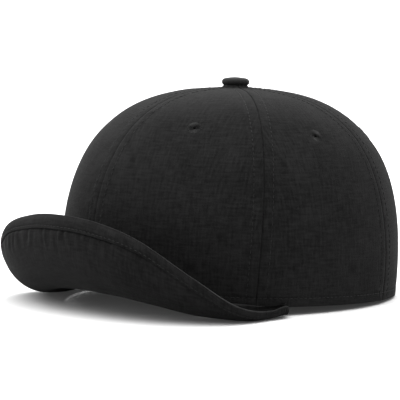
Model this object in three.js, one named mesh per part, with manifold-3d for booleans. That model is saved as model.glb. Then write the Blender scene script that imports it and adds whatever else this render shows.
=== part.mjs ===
// Short-brim baseball cap at real size, in millimetres, resting by itself on the surface z = 0.
// The front of the cap looks along -Y and the wearer's left is +X.
// The brim is turned up all round, so the cap stands on the folds at the two sides of its brim and on the
// back of its rim. It is built with the rim of the crown level, and leaned back onto the folds at the end.
import Module from 'manifold-3d';
import * as THREE from 'three';
import { mergeVertices } from 'three/addons/utils/BufferGeometryUtils.js';

const wasm = await Module();
wasm.setup();

// Gap that pieces which touch keep between them
const clearance = 0.3;

// Crown, measured on its outer surface
const crownHalfWidth = 91.5;
const crownFrontLength = 102;
const crownBackLength = 102.2;
const crownHeight = 115.4;
const crownWall = 1.6;
const frontArch = 4;
const seamGap = 0.3;
const tipRadius = 3;

// How square the crown's shoulder is, and how far its rim draws in as a share of the half width or length
const profiles = {
  front: { fullness: 2.63, drawIn: 0.053 },
  side: { fullness: 2.755, drawIn: 0.049 },
  back: { fullness: 2.78, drawIn: 0.025 },
};

// Seams of one half of the crown, by their angle from the front, at the rim and at the top
const seams = {
  front: { rimDegrees: 0, topDegrees: 0 },
  frontSide: { rimDegrees: 61.5, topDegrees: 67.5 },
  backSide: { rimDegrees: 118.5, topDegrees: 112.5 },
  back: { rimDegrees: 180, topDegrees: 180 },
};

// Panels of one half of the crown, with the angle of their eyelet and its share of the way up to the top
const panels = [
  { name: 'front', from: seams.front, to: seams.frontSide, eyeletDegrees: 34.5, eyeletRise: 0.545 },
  { name: 'side', from: seams.frontSide, to: seams.backSide, eyeletDegrees: 90, eyeletRise: 0.515 },
  { name: 'back', from: seams.backSide, to: seams.back, eyeletDegrees: 145.5, eyeletRise: 0.515 },
];
const panelSteps = { across: 8, up: 14 };

// Embroidered eyelets, each wrapped round the edge of its hole
const eyeletRadius = 4.5;
const eyeletBackRadius = 3.6;
const eyeletBackGap = 0.75;  // the flat ring inside clears the panel that curves round it
const eyeletBore = 1.3;
const eyeletThread = 1.1;
const eyeletHeight = 0.8;
const eyeletSides = 12;
const eyeletHoleRadius = eyeletBore + eyeletThread + clearance;

// Cloth-covered button, its shank and the plate that clamps it inside the crown
const buttonRadius = 7.8;
const buttonHeight = 5.4;
const buttonShankRadius = 2.4;
const buttonPlateRadius = 5.5;
const buttonPlateHeight = 0.9;
const buttonSides = 24;

// Sweatband inside the rim
const sweatbandHeight = 30;
const sweatbandWall = 1.2;
const sweatbandGap = 0.5;
const sweatbandRise = 0.8;
const sweatbandSteps = 48;

// Turned-up brim: half the angle that it spans, and its width along the cloth at its widest section
const brimHalfDegrees = 73;
const brimWidth = 60.4;
const brimClothWall = 1;
const brimLayerGap = 0.4;
const edgeBandWidth = 8.5;
const edgeBandStep = 0.4;
const edgeHookWidth = 3;
const brimSteps = { round: 40, across: 12 };

// Sections of the brim from the middle of the front to where it ends at the side. Place is a share of the
// half span, and width a share of the brim's width. Leaving and arriving are the slopes of the cloth in
// degrees above level, where it leaves the crown and at its edge: it first drops, then turns up.
const brimSections = [
  { place: 0, width: 0.99, leaving: -15.4, arriving: 109 },
  { place: 0.2, width: 1, leaving: -23.7, arriving: 111.1 },
  { place: 0.4, width: 0.993, leaving: -39.6, arriving: 101.5 },
  { place: 0.58, width: 0.811, leaving: -55.6, arriving: 77.6 },
  { place: 0.74, width: 0.589, leaving: -64.6, arriving: 45.8 },
  { place: 0.88, width: 0.268, leaving: -63, arriving: 21.6 },
  { place: 0.96, width: 0.125, leaving: -50.6, arriving: 17.1 },
  { place: 1, width: 0.085, leaving: -45.4, arriving: 15 },
];
const earlyBend = 0.711;
// Beside the narrow ends of the brim its band and hook take at most these shares of the section
const mostOfSection = { band: 0.52, hook: 0.36 };

// Fabric: near-black cotton twill, with satin thread on the eyelets and smooth tape on the sweatband
const twill = { color: 0x212122, roughness: 0.92, metalness: 0 };
const thread = { color: 0x1b1b1d, roughness: 0.6, metalness: 0 };
const tape = { color: 0x18181a, roughness: 0.85, metalness: 0 };

const radians = THREE.MathUtils.degToRad;
const lerp = THREE.MathUtils.lerp;

function shares(count) {
  return Array.from({ length: count + 1 }, (_, index) => index / count);
}

// A closed solid through rings of points. Each ring runs out along one side of the piece and back along the
// other, so that the first and last rings are closed by a strip between their two sides.
function loft(rings, endless = false) {
  const size = rings[0].length;
  const positions = rings.flat().flatMap((point) => point.toArray());
  const index = [];
  const quad = (a, b, c, d) => index.push(a, c, b, a, d, c);
  const joins = endless ? rings.length : rings.length - 1;
  for (let ring = 0; ring < joins; ring += 1) {
    const next = (ring + 1) % rings.length;
    for (let point = 0; point < size; point += 1) {
      const after = (point + 1) % size;
      quad(ring * size + point, ring * size + after, next * size + after, next * size + point);
    }
  }
  if (!endless) {
    const last = (rings.length - 1) * size;
    for (let point = 0; point < size / 2 - 1; point += 1) {
      const across = size - 1 - point;
      quad(point + 1, point, across, across - 1);
      quad(last + across, last + point, last + point + 1, last + across - 1);
    }
  }
  const geometry = new THREE.BufferGeometry();
  geometry.setAttribute('position', new THREE.Float32BufferAttribute(positions, 3));
  geometry.setIndex(index);
  return geometry;
}

function solidOf(geometry) {
  const bare = geometry.clone();
  bare.deleteAttribute('normal');
  bare.deleteAttribute('uv');
  const merged = mergeVertices(bare);
  return new wasm.Manifold(new wasm.Mesh({
    numProp: 3,
    vertProperties: merged.attributes.position.array,
    triVerts: new Uint32Array(merged.index.array),
  }));
}

function geometryOf(solid) {
  const mesh = solid.getMesh();
  const geometry = new THREE.BufferGeometry();
  geometry.setAttribute('position', new THREE.Float32BufferAttribute(mesh.vertProperties, 3));
  geometry.setIndex(Array.from(mesh.triVerts));
  return geometry;
}

function makeMesh(name, geometry, finish) {
  geometry.computeVertexNormals();
  const mesh = new THREE.Mesh(geometry, new THREE.MeshStandardMaterial(finish));
  mesh.name = name;
  return mesh;
}

// The crown's outer surface: angle goes round from the front, in radians, and rise goes up the profile,
// from 0 at the rim to 1 at the top
function crownPoint(angle, rise) {
  const front = Math.max(Math.cos(angle), 0) ** 2;
  const back = Math.max(-Math.cos(angle), 0) ** 2;
  const side = Math.sin(angle) ** 2;
  const mix = (key) => front * profiles.front[key] + side * profiles.side[key] + back * profiles.back[key];
  const fullness = mix('fullness');
  const across = Math.cos(rise * Math.PI / 2);
  const upward = Math.sin(rise * Math.PI / 2);
  const reach = (across ** fullness + upward ** fullness) ** (-1 / fullness);
  const height = reach * upward;
  const out = reach * across * (1 - mix('drawIn') * (1 - height) ** 3);
  const length = Math.cos(angle) > 0 ? crownFrontLength : crownBackLength;
  const fromMiddle = Math.min(Math.abs(angle) / radians(brimHalfDegrees), 1);
  const arch = frontArch * Math.cos(fromMiddle * Math.PI / 2) ** 2;
  return new THREE.Vector3(
    crownHalfWidth * out * Math.sin(angle),
    -length * out * Math.cos(angle),
    crownHeight * height + arch * (1 - height) ** 2,
  );
}

function crownNormal(angle, rise) {
  const step = 1e-4;
  const round = crownPoint(angle + step, rise).sub(crownPoint(angle - step, rise));
  const upward = crownPoint(angle, rise + step).sub(crownPoint(angle, Math.max(rise - step, 0)));
  return round.cross(upward).normalize();
}

// A point under the crown's outer surface. The walls are cut level along the rim.
function wallPoint(angle, rise, depth) {
  const surface = crownPoint(angle, rise);
  const point = surface.clone().addScaledVector(crownNormal(angle, rise), -depth);
  if (rise === 0) {
    point.z = surface.z;
  }
  return point;
}

// How far apart the surface's points are for each radian round the crown
function roundScale(angle, rise) {
  const step = 1e-3;
  return crownPoint(angle + step, rise).distanceTo(crownPoint(angle - step, rise)) / (2 * step);
}

// The rise of a point at a height above the rim, low on the crown where the wall is nearly upright
function riseAtHeight(height) {
  return height / crownHeight * 2 / Math.PI;
}

function seamAngle(seam, rise) {
  return radians(lerp(seam.rimDegrees, seam.topDegrees, rise));
}

// One panel: a wall between two seams, from the rim up to a small opening under the button
function makePanel(panel, side, finish) {
  const top = 1 - tipRadius / crownHalfWidth * 2 / Math.PI;
  const angleAt = (share, rise) => {
    const start = seamAngle(panel.from, rise);
    const end = seamAngle(panel.to, rise);
    const startInset = seamGap / 2 / roundScale(start, rise);
    const endInset = seamGap / 2 / roundScale(end, rise);
    return lerp(start + startInset, end - endInset, share);
  };
  const rises = shares(panelSteps.up).map((share) => share * top);
  const rings = shares(panelSteps.across).map((share) => {
    const outer = rises.map((rise) => wallPoint(side * angleAt(share, rise), rise, 0));
    const inner = rises.map((rise) => wallPoint(side * angleAt(share, rise), rise, crownWall));
    return [...outer, ...inner.reverse()];
  });
  const wall = loft(side > 0 ? rings : rings.reverse());
  const cutter = new THREE.CylinderGeometry(
    eyeletHoleRadius,
    eyeletHoleRadius,
    crownWall * 6,
    eyeletSides,
  );
  const place = eyeletPlace(panel, side);
  cutter.applyQuaternion(place.turn);
  cutter.translate(...place.point.toArray());
  const cut = geometryOf(solidOf(wall).subtract(solidOf(cutter)));
  return makeMesh(`${panel.name}_${sideName(side)}_panel`, cut, finish);
}

function sideName(side) {
  return side > 0 ? 'left' : 'right';
}

// Where a panel's eyelet sits, and the turn that brings +Y onto the surface's normal there
function eyeletPlace(panel, side) {
  const angle = side * radians(panel.eyeletDegrees);
  const normal = crownNormal(angle, panel.eyeletRise);
  return {
    point: crownPoint(angle, panel.eyeletRise),
    turn: new THREE.Quaternion().setFromUnitVectors(new THREE.Vector3(0, 1, 0), normal),
  };
}

// One eyelet: a rounded ring of thread outside, a sleeve through the hole and a flatter ring inside
function makeEyelet(panel, side, finish) {
  const sleeve = eyeletBore + eyeletThread;
  const outside = clearance;
  const inside = -crownWall - eyeletBackGap;
  const profile = [
    [eyeletBore, inside - eyeletHeight / 2],
    [eyeletBackRadius, inside - eyeletHeight / 2],
    [eyeletBackRadius, inside],
    [sleeve, inside],
    [sleeve, outside],
    [eyeletRadius, outside],
    [lerp(sleeve, eyeletRadius, 0.7), outside + eyeletHeight],
    [eyeletBore + eyeletThread / 2, outside + eyeletHeight],
    [eyeletBore, outside + eyeletHeight / 2],
    [eyeletBore, inside - eyeletHeight / 2],
  ];
  const points = profile.map(([radius, height]) => new THREE.Vector2(radius, height));
  const ring = new THREE.LatheGeometry(points, eyeletSides);
  const mesh = makeMesh(`${panel.name}_${sideName(side)}_eyelet`, ring, finish);
  const place = eyeletPlace(panel, side);
  mesh.position.copy(place.point);
  mesh.quaternion.copy(place.turn);
  return mesh;
}

// The button: a domed disc above the panels, a shank through the opening and a plate under the panels
function makeButton(finish) {
  const seat = clearance;
  const plateTop = -crownWall - clearance;
  const plateBottom = plateTop - buttonPlateHeight;
  const rim = buttonRadius;
  const profile = [
    [0, plateBottom],
    [buttonPlateRadius, plateBottom],
    [buttonPlateRadius, plateTop],
    [buttonShankRadius, plateTop],
    [buttonShankRadius, seat],
    [rim * 0.93, seat],
    [rim, seat + buttonHeight * 0.2],
    [rim * 0.99, seat + buttonHeight * 0.5],
    [rim * 0.9, seat + buttonHeight * 0.78],
    [rim * 0.65, seat + buttonHeight * 0.94],
    [rim * 0.3, seat + buttonHeight],
    [0, seat + buttonHeight],
  ];
  const points = profile.map(([radius, height]) => new THREE.Vector2(radius, height));
  const mesh = makeMesh('top_button', new THREE.LatheGeometry(points, buttonSides), finish);
  mesh.position.copy(crownPoint(0, 1));
  mesh.rotation.x = Math.PI / 2;
  return mesh;
}

// The sweatband: an endless wall inside the rim, clear of the panels
function makeSweatband(finish) {
  const low = riseAtHeight(sweatbandRise);
  const high = riseAtHeight(sweatbandRise + sweatbandHeight);
  const near = crownWall + sweatbandGap;
  const far = near + sweatbandWall;
  const angles = shares(sweatbandSteps).slice(0, -1).map((share) => (share * 2 - 1) * Math.PI);
  const rises = [low, lerp(low, high, 0.5), high];
  const rings = angles.map((angle) => [
    ...rises.map((rise) => wallPoint(angle, rise, near)),
    ...rises.map((rise) => wallPoint(angle, rise, far)).reverse(),
  ]);
  return makeMesh('sweatband', loft(rings, true), finish);
}

// A smooth value between the rows of the table of brim sections
function sectionValue(key, place) {
  const last = brimSections.length - 1;
  const slopeAt = (row) => {
    if (row === 0) {
      return 0;
    }
    const before = brimSections[row - 1];
    const after = brimSections[Math.min(row + 1, last)];
    return (after[key] - before[key]) / (after.place - before.place);
  };
  const found = brimSections.findIndex((row, number) => number > 0 && place <= row.place);
  const upper = found < 0 ? last : found;
  const start = brimSections[upper - 1];
  const end = brimSections[upper];
  const span = end.place - start.place;
  const t = (place - start.place) / span;
  const fromStart = (1 + 2 * t) * (1 - t) ** 2 * start[key] + t * (1 - t) ** 2 * span * slopeAt(upper - 1);
  const fromEnd = t ** 2 * (3 - 2 * t) * end[key] + t ** 2 * (t - 1) * span * slopeAt(upper);
  return fromStart + fromEnd;
}

// One section of the brim. Its at(distance, lift) gives the point that lies a distance along the cloth from
// the crown, lifted off the brim's under face into the fold.
function brimSection(signedPlace) {
  const place = Math.abs(signedPlace);
  const angle = radians(signedPlace * brimHalfDegrees);
  const root = crownPoint(angle, 0);
  const outward = new THREE.Vector3(
    Math.sin(angle) / crownHalfWidth,
    -Math.cos(angle) / crownFrontLength,
    0,
  ).normalize();
  const width = brimWidth * sectionValue('width', place);
  const leaving = radians(sectionValue('leaving', place));
  const arriving = radians(sectionValue('arriving', place));
  const slopeAt = (share) => lerp(leaving, arriving, share ** earlyBend);
  const walkSteps = 24;
  const at = (distance, lift) => {
    const stride = distance / walkSteps;
    let out = clearance;
    let up = 0;
    for (let step = 0; step < walkSteps; step += 1) {
      const slope = slopeAt((step + 0.5) * stride / width);
      out += stride * Math.cos(slope);
      up += stride * Math.sin(slope);
    }
    const slope = slopeAt(distance / width);
    out -= lift * Math.sin(slope);
    up += lift * Math.cos(slope);
    return root.clone().addScaledVector(outward, out).add(new THREE.Vector3(0, 0, up));
  };
  return {
    width,
    bandWidth: Math.min(edgeBandWidth, width * mostOfSection.band),
    hookWidth: Math.min(edgeHookWidth, width * mostOfSection.hook),
    at,
  };
}

const underBottom = edgeBandStep;
const underTop = underBottom + brimClothWall;
const upperBottom = underTop + brimLayerGap;
const upperTop = upperBottom + brimClothWall;

// The sections stand closer together towards the ends of the brim, where it narrows
const sections = shares(brimSteps.round).map((share) => brimSection(Math.sin((share - 0.5) * Math.PI)));

// One layer of the brim's cloth, from the crown out to where endOf says
function makeBrimLayer(name, bottom, top, endOf, finish) {
  const rings = sections.map((section) => {
    const distances = shares(brimSteps.across).map((share) => share * endOf(section));
    return [
      ...distances.map((distance) => section.at(distance, bottom)),
      ...distances.reverse().map((distance) => section.at(distance, top)),
    ];
  });
  return makeMesh(name, loft(rings), finish);
}

// The edge band: a flat strip on the under face that ends in a round nose as thick as the brim
function makeEdgeBand(finish) {
  const nose = upperTop / 2;
  const rings = sections.map((section) => {
    const { width, bandWidth, hookWidth, at } = section;
    const arc = (degrees) => at(
      width - nose + nose * Math.cos(radians(degrees)),
      nose + nose * Math.sin(radians(degrees)),
    );
    const seam = width - bandWidth;
    const hook = width - hookWidth;
    return [
      at(seam, 0),
      at(lerp(seam, hook, 0.5), 0),
      at(hook, 0),
      arc(-90),
      arc(-45),
      arc(0),
      arc(45),
      arc(90),
      at(hook, upperTop),
      at(hook, underTop),
      at(lerp(seam, hook, 0.5), underTop),
      at(seam, underTop),
    ];
  });
  return makeMesh('brim_edge_band', loft(rings), finish);
}

const underCloth = makeBrimLayer(
  'brim_under_cloth',
  underBottom,
  underTop,
  (section) => section.width - section.bandWidth - clearance,
  twill,
);
const upperCloth = makeBrimLayer(
  'brim_upper_cloth',
  upperBottom,
  upperTop,
  (section) => section.width - section.hookWidth - clearance,
  twill,
);

const cap = new THREE.Group();
for (const side of [1, -1]) {
  for (const panel of panels) {
    cap.add(makePanel(panel, side, twill));
    cap.add(makeEyelet(panel, side, thread));
  }
}
cap.add(makeButton(twill));
cap.add(makeSweatband(tape));
cap.add(upperCloth);
cap.add(underCloth);
cap.add(makeEdgeBand(twill));

// The cap leans back about the back of its rim until the folds of the brim reach the surface as well
function restingLean() {
  const pivot = crownPoint(Math.PI, 0);
  let lean = 0;
  for (const piece of [underCloth, cap.getObjectByName('brim_edge_band')]) {
    const position = piece.geometry.attributes.position;
    for (let index = 0; index < position.count; index += 1) {
      lean = Math.max(lean, Math.atan2(-position.getZ(index), pivot.y - position.getY(index)));
    }
  }
  return lean;
}

// The origin is on the surface, under the middle of the cap
cap.rotation.x = -restingLean();
const box = new THREE.Box3().setFromObject(cap, true);
cap.position.set(-(box.min.x + box.max.x) / 2, -(box.min.y + box.max.y) / 2, -box.min.z);

export default cap;
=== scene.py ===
# Short-brim baseball cap of near-black cotton twill, resting on a table with its front brim turned up.
# Everything is in metres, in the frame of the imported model: the front looks along -Y, the wearer's left is
# +X, and the table is at z = 0.
import math
import random
from functools import lru_cache
from types import SimpleNamespace

import bmesh
import bpy
from mathutils import Matrix, Vector, noise


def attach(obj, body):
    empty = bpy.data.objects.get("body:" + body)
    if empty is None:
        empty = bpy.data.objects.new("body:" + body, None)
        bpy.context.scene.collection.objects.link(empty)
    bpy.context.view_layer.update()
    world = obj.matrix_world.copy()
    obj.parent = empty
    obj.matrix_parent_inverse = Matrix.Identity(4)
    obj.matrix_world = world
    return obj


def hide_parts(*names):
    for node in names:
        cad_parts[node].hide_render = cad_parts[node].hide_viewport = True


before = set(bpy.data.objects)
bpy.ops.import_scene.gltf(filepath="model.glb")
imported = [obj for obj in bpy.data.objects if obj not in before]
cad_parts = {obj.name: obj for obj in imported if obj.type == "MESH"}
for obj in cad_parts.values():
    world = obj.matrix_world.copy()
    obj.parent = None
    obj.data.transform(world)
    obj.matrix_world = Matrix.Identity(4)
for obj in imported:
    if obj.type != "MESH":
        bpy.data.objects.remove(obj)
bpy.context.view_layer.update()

MM = 0.001

# Camera at the photograph's viewing angle
CAMERA_PLACE = Vector((1241.26, -1040.70, 198.76)) * MM
CAMERA_TARGET = Vector((-10.617, -1.494, 55.751)) * MM
CAMERA_SENSOR = 36
CAMERA_LENS = 259.39

# Table and light
TABLE_SHADE = 0.5
TABLE_GLOW = 0.03
ROOM_LIGHT = 0.87
ROOM_SLANT = 0.12
CEILING_LIGHT = 6.3
SOFTBOX_SIZE = 1
SOFTBOX_POWER = 12

# The cap is worked out with its rim level, then leaned back onto the folds of its brim and set down
LEAN = 0.038154
SET_DOWN = Vector((0, 11.2963, 3.8009)) * MM
SETTLE = Matrix.Translation(SET_DOWN) @ Matrix.Rotation(-LEAN, 4, "X")

# Crown, on its outer surface
CROWN_HALF_WIDTH = 91.5 * MM
CROWN_FRONT_LENGTH = 102 * MM
CROWN_BACK_LENGTH = 102.2 * MM
CROWN_HEIGHT = 115.4 * MM
CROWN_WALL = 1.6 * MM
FRONT_ARCH = 4 * MM
TIP_RADIUS = 3 * MM
PROFILES = {
    "front": {"fullness": 2.63, "draw_in": 0.053},
    "side": {"fullness": 2.755, "draw_in": 0.049},
    "back": {"fullness": 2.78, "draw_in": 0.025},
}

# Seams of one half of the crown, in degrees from the front, with the shares that they have of the full tuck
# and of the full puckers
SEAMS = {
    "front": {"at_rim": 0, "at_top": 0, "tuck": 0.38, "pucker": 1.8},
    "front_side": {"at_rim": 61.5, "at_top": 67.5, "tuck": 1, "pucker": 1},
    "back_side": {"at_rim": 118.5, "at_top": 112.5, "tuck": 0.45, "pucker": 1},
    "back": {"at_rim": 180, "at_top": 180, "tuck": 0.6, "pucker": 1.2},
}
PANELS = [
    {"name": "front", "start": "front", "end": "front_side", "eyelet_degrees": 34.5, "eyelet_rise": 0.545},
    {"name": "side", "start": "front_side", "end": "back_side", "eyelet_degrees": 90, "eyelet_rise": 0.515},
    {"name": "back", "start": "back_side", "end": "back", "eyelet_degrees": 145.5, "eyelet_rise": 0.515},
]
SIDES = {"left": 1, "right": -1}

# Cloth beside a seam: it turns down into the seam, lies double over the allowance, and dips at the stitches
SEAM_TUCK = 0.62 * MM
SEAM_FOLD = 0.3 * MM
SEAM_TO_STITCHES = 5.4 * MM
ALLOWANCE_RISE = 0.14 * MM
STITCH_DIP = 0.26 * MM
STITCH_DIP_WIDTH = 0.75 * MM
SEAM_TAPE_RISE = 0.7 * MM
SEAM_TAPE_HALF = 6.5 * MM
RIM_TO_STITCHES = 4.6 * MM
RIM_ROUND = 0.65 * MM
# Distances from a seam, or from the rim, at which the cloth has a line of its mesh
SEAM_LINES = (0, 0.18, 0.38, 0.62, 0.95, 1.5, 2.4, 3.5)
STITCH_LINES = (4.3, 4.7, 5.05, 5.4, 5.75, 6.1, 6.6, 7.4, 8.4)
CLOSE_LINES = [line * MM for line in SEAM_LINES + STITCH_LINES]
MIDDLE_LINES = 26
RISE_LINES = 64

# Soft unevenness of the cloth: height and length of its waves
DRIFT_HEIGHT = 0.45 * MM
DRIFT_LENGTH = 34 * MM
PUCKER_HEIGHT = 0.24 * MM
PUCKER_LENGTH = 3.4 * MM
PUCKER_REACH = 4.5 * MM

# Stitches
STITCH_PITCH = 3 * MM
STITCH_LENGTH = 2.1 * MM
STITCH_RADIUS = 0.2 * MM
STITCH_FLATNESS = 0.8
STITCH_STAND = 0.12 * MM
STITCH_SWAY = 0.07
STITCH_SPREAD = 0.06
PATH_SAMPLES = 300
# Edges of a mesh that turn more than this are shaded sharp
SHARP_DEGREES = 60

# Yarns of the cloth: length and breadth of a streak, and the sizes of its fuzz and of its changes of shade
YARN_STREAK = (8 * MM, 1.3 * MM)
FUZZ_SIZE = 0.8 * MM
SHADE_SIZE = 30 * MM
# Shares of the yarns, the fuzz, the slow shade and the wales in the tone of the cloth
TONE_SHARES = (0.3, 0.2, 0.2, 0.012)

# Embroidered eyelets
EYELET_RADIUS = 4.5 * MM
EYELET_BACK_RADIUS = 3.6 * MM
EYELET_BORE = 1.05 * MM
EYELET_CUT_RADIUS = 2.4 * MM
EYELET_HEIGHT = 0.5 * MM
EYELET_DIMPLE_DEPTH = 0.5 * MM
EYELET_DIMPLE_RADIUS = 5.5 * MM
EYELET_DEPTH = 2.6 * MM
EYELET_THREADS = 46
EYELET_THREAD_HEIGHT = 0.09 * MM

# Cloth-covered button
BUTTON_RADIUS = 7.8 * MM
BUTTON_HEIGHT = 5.6 * MM
BUTTON_SHANK = 2.4 * MM
BUTTON_PLATE = 5.5 * MM
BUTTON_PLUNGE = 2.8 * MM
BUTTON_LIFT = 0.6 * MM
# Its top is flat over a share of its radius, and its round side has its middle and half its height as shares
BUTTON_FLAT_SHARE = 0.52
BUTTON_SIDE_MIDDLE = 0.52
BUTTON_SIDE_HALF = 0.41
BUTTON_SQUARENESS = 2.15
BUTTON_PLEATS = 17
BUTTON_STEPS = 120
# The cloth stands up a little round the button
MOUND_HEIGHT = 0.9 * MM
MOUND_RADIUS = 10.5 * MM

# Sweatband
BAND_HEIGHT = 30 * MM
BAND_WALL = 1.2 * MM
BAND_GAP = 0.5 * MM
BAND_RISE = 0.8 * MM
BAND_FOLD_HEIGHT = 27.1 * MM
BAND_COLUMNS = 181
BAND_LOW_LINES = (0, 0.4, 0.9, 2, 4, 4.6, 5.2, 7, 10, 14, 18, 22)
BAND_HIGH_LINES = (25, 26.6, 27.1, 27.6, 28.6, 29.5, 29.85, 30)

# Turned-up brim
CLEARANCE = 0.3 * MM
BRIM_HALF_SPAN = 73
BRIM_WIDTH = 60.4 * MM
BRIM_STEP = 0.4 * MM
BRIM_CLOTH = 1 * MM
BRIM_LAYER_GAP = 0.4 * MM
UNDER_FACE = BRIM_STEP
UNDER_BACK = UNDER_FACE + BRIM_CLOTH
UPPER_BACK = UNDER_BACK + BRIM_LAYER_GAP
UPPER_FACE = UPPER_BACK + BRIM_CLOTH
EDGE_BAND_WIDTH = 8.5 * MM
SIDE_BAND_SHARE = 0.78
EDGE_HOOK_WIDTH = 3 * MM
EDGE_NOSE = 0.85 * MM
EDGE_NARROWING = 4 * MM
# Share of the edge's lighter shade that is left at the ends of the brim: a painted highlight along the top of
# the edge band's fold, partly wear
END_WEAR_AND_HIGHLIGHT = 0.3
# Sections of the brim from the middle of the front to its end: place as a share of the half span, width as a
# share of the brim's width, and the slopes of the cloth where it leaves the crown and at its edge. From 0.58
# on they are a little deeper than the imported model's.
BRIM_SECTIONS = [
    {"place": 0, "width": 0.99, "leaving": -15.4, "arriving": 109},
    {"place": 0.2, "width": 1, "leaving": -23.7, "arriving": 111.1},
    {"place": 0.4, "width": 0.993, "leaving": -39.6, "arriving": 101.5},
    {"place": 0.58, "width": 0.819, "leaving": -57, "arriving": 80.1},
    {"place": 0.74, "width": 0.591, "leaving": -62.6, "arriving": 47.1},
    {"place": 0.88, "width": 0.355, "leaving": -83.3, "arriving": 51.4},
    {"place": 0.96, "width": 0.252, "leaving": -86, "arriving": 69.9},
    {"place": 1, "width": 0.063, "leaving": -40, "arriving": 10},
]
# How early across the brim its slope changes, where 1 is evenly
EARLY_BEND = 0.711
# Where the brim is narrow, the edge band and its hook take up no more than these shares of it
MOST_OF_SECTION = {"band": 0.52, "hook": 0.36}
BRIM_ROUND_LINES = 300
BRIM_ACROSS_LINES = 40
# Gathers of the under cloth beside the edge band
GATHER_HEIGHT = 0.8 * MM
GATHER_LENGTH = 6.5 * MM
GATHER_REACH = 14 * MM
# Ends of the brim: how far they go in under the crown's rim, and the creases and small pleats across them
END_UNDER_RIM_FROM = 0.95
END_GOES_IN = 4.5 * MM
END_GOES_DOWN = 1.5 * MM
END_CREASE_HEIGHT = 0.22 * MM
END_CREASE_LENGTH = 5 * MM
END_PLEAT_HEIGHT = 1.3 * MM
END_PLEAT_LENGTH = 1.9 * MM
# The upper cloth at the ends: its roll beside the rim, the hollow beyond that, and its folds
END_ROLL_HEIGHT = 2.8 * MM
END_ROLL_PLACE = 3.2 * MM
END_ROLL_WIDTH = 2.3 * MM
END_HOLLOW_DEPTH = 0.2 * MM
END_HOLLOW_PLACE = 5.5 * MM
END_HOLLOW_WIDTH = 2.8 * MM
END_FOLD_HEIGHT = 0.35 * MM
END_FOLD_LENGTH = 2.4 * MM
# The under cloth tucks in at the edge band, which is stitched close to its inner edge
BAND_TUCK = 0.6 * MM
BAND_TUCK_WIDTH = 1 * MM
BAND_TO_STITCHES = 1.5 * MM


def lerp(a, b, share):
    return a + (b - a) * share


def ease(value, low, high):
    share = min(max((value - low) / (high - low), 0), 1)
    return share * share * (3 - 2 * share)


def bell(distance, width):
    return math.exp(-((distance / width) ** 2))


def shares(count):
    return [index / count for index in range(count + 1)]


# Crown surface: angle goes round from the front, and rise goes up from 0 at the rim to 1 at the top
@lru_cache(maxsize=None)
def crown_point(angle, rise):
    cosine = math.cos(angle)
    weights = (("front", max(cosine, 0) ** 2), ("side", 1 - cosine**2), ("back", max(-cosine, 0) ** 2))
    fullness = 0
    draw_in = 0
    for key, weight in weights:
        fullness += weight * PROFILES[key]["fullness"]
        draw_in += weight * PROFILES[key]["draw_in"]
    across = max(math.cos(rise * math.pi / 2), 0)
    upward = math.sin(rise * math.pi / 2)
    reach = (across**fullness + upward**fullness) ** (-1 / fullness)
    height = reach * upward
    out = reach * across * (1 - draw_in * (1 - height) ** 3)
    length = CROWN_FRONT_LENGTH if cosine > 0 else CROWN_BACK_LENGTH
    from_middle = min(abs(angle) / math.radians(BRIM_HALF_SPAN), 1)
    arch = FRONT_ARCH * math.cos(from_middle * math.pi / 2) ** 2
    return Vector(
        (
            CROWN_HALF_WIDTH * out * math.sin(angle),
            -length * out * cosine,
            CROWN_HEIGHT * height + arch * (1 - height) ** 2,
        )
    )


@lru_cache(maxsize=None)
def crown_normal(angle, rise):
    step = 1e-4
    rise = max(rise, step)
    round_it = crown_point(angle + step, rise) - crown_point(angle - step, rise)
    upward = crown_point(angle, rise + step) - crown_point(angle, rise - step)
    return round_it.cross(upward).normalized()


def wall_point(angle, rise, depth):
    surface = crown_point(angle, rise)
    point = surface - crown_normal(angle, rise) * depth
    if rise == 0:
        point.z = surface.z
    return point


@lru_cache(maxsize=None)
def round_scale(angle, rise):
    step = 1e-3
    return (crown_point(angle + step, rise) - crown_point(angle - step, rise)).length / (2 * step)


def rise_at_height(height):
    return height / CROWN_HEIGHT * 2 / math.pi


def seam_angle(name, rise):
    seam = SEAMS[name]
    return math.radians(lerp(seam["at_rim"], seam["at_top"], rise))


# Soft unevenness of the crown's cloth, the same on both sides of a seam
def drift(point):
    return DRIFT_HEIGHT * noise.noise(point / DRIFT_LENGTH)


def seam_relief(seam, distance):
    share = SEAMS[seam]["tuck"]
    tuck = share * SEAM_TUCK * bell(distance, SEAM_FOLD)
    dip = share * STITCH_DIP * bell(distance - SEAM_TO_STITCHES, STITCH_DIP_WIDTH)
    past_stitches = ease(distance, SEAM_TO_STITCHES, SEAM_TO_STITCHES + 1.2 * MM)
    doubled = ease(distance, 0.5 * MM, 1.6 * MM) - past_stitches
    return tuck + dip - ALLOWANCE_RISE * doubled


def rim_relief(height):
    dip = STITCH_DIP * bell(height - RIM_TO_STITCHES, STITCH_DIP_WIDTH)
    doubled = 1 - ease(height, RIM_TO_STITCHES, RIM_TO_STITCHES + 1.5 * MM)
    return dip - 0.6 * ALLOWANCE_RISE * doubled


def rim_rounding(height):
    share = min(height / RIM_ROUND, 1)
    return RIM_ROUND * (1 - math.sqrt(1 - (1 - share) ** 2))


def pucker(along, distance, seed, centre):
    wave = noise.noise(Vector((along / PUCKER_LENGTH, distance / (6 * MM), seed)))
    return PUCKER_HEIGHT * wave * bell(distance - centre, PUCKER_REACH)


# The stitching of an eyelet draws the cloth in round it
def eyelet_dimple(surface):
    nearest = min((surface - place).length for place in eyelet_places())
    return EYELET_DIMPLE_DEPTH * bell(nearest, EYELET_DIMPLE_RADIUS)


@lru_cache(maxsize=None)
def eyelet_places():
    return [
        crown_point(side * math.radians(panel["eyelet_degrees"]), panel["eyelet_rise"])
        for side in SIDES.values()
        for panel in PANELS
    ]


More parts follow.
